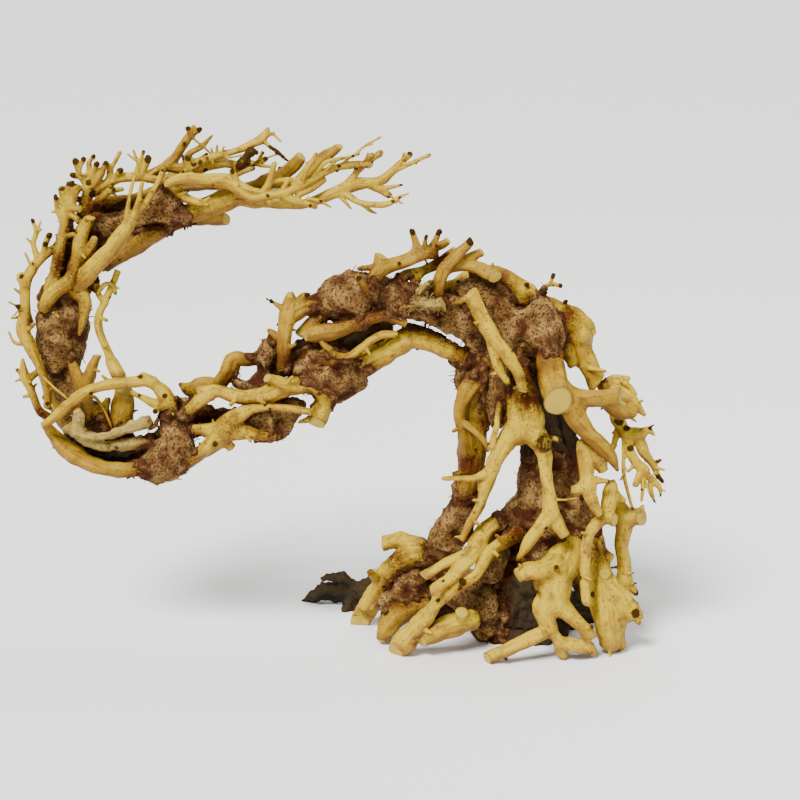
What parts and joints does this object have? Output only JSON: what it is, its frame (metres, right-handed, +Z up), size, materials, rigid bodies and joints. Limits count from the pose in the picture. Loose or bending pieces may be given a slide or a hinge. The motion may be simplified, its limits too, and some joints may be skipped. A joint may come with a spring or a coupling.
{
  "type": "bonsai driftwood",
  "caption": "Aquarium driftwood built like a bonsai: root wood bedded in brown putty on a dark stump, with one arm that sweeps sideways and curls back over itself",
  "frame": {"origin": "on the ground, on the stump's flat underside", "axes": "+X is the right of the picture, where the trunk stands, and -X is the way that the arm sweeps; +Y is away from the picture's camera; +Z is up"},
  "size_m": [0.456, 0.1388, 0.3697],
  "materials": {
    "pale_wood": "bare barkless root, dry and softly worn",
    "golden_wood": "bare root with an ochre skin",
    "weathered_wood": "grey weathered root with clinging fibres",
    "dark_wood": "dark waterlogged stump, dry",
    "wood_putty": "granular brown wood putty with crumbs and fibres"
  },
  "bodies": {
    "root": {"base_stump": "dark_wood", "foot_left": "pale_wood", "foot_left_small": "golden_wood", "root_front_left": "pale_wood", "foot_stub": "pale_wood", "webbed_root": "pale_wood", "root_right": "pale_wood", "outer_root_right": "pale_wood", "leg_left": "golden_wood", "front_fork": "pale_wood", "front_strand": "pale_wood", "sawn_fork": "golden_wood", "drip_upper": "pale_wood", "drip_lower": "pale_wood", "twigs_right": "pale_wood", "top_limb": "pale_wood", "fork_top": "golden_wood", "antler_top": "golden_wood", "limb_behind_top": "pale_wood", "weathered_limb": "weathered_wood", "band_under": "golden_wood", "arm_core": "dark_wood", "pale_antler": "pale_wood", "arm_lower": "pale_wood", "antler_mid": "golden_wood", "bridge_limb": "golden_wood", "mid_limb": "pale_wood", "lower_web": "pale_wood", "bend_core": "dark_wood", "sweep_bottom": "golden_wood", "bark_band": "weathered_wood", "arch_limb": "pale_wood", "block_stub": "golden_wood", "y_stub": "golden_wood", "riser_inner": "pale_wood", "riser_outer": "pale_wood", "stem_lower_left": "pale_wood", "stem_left": "pale_wood", "strut_long": "pale_wood", "twig_crown_left": "pale_wood", "horn_top": "golden_wood", "under_limb": "golden_wood", "spray_tip": "pale_wood", "spray_front": "pale_wood", "spray_back": "golden_wood", "twig_crown_right": "pale_wood", "back_limb_trunk": "golden_wood", "back_limb_crown": "pale_wood", "back_limb_arm": "pale_wood", "back_limb_left": "golden_wood", "back_limb_top": "golden_wood", "putty_collar": "wood_putty", "putty_leg": "wood_putty", "putty_crown": "wood_putty", "putty_arm": "wood_putty", "putty_mid": "wood_putty", "putty_joint": "wood_putty", "putty_bend": "wood_putty", "putty_spine": "wood_putty", "putty_top": "wood_putty"}
  },
  "joints": []
}
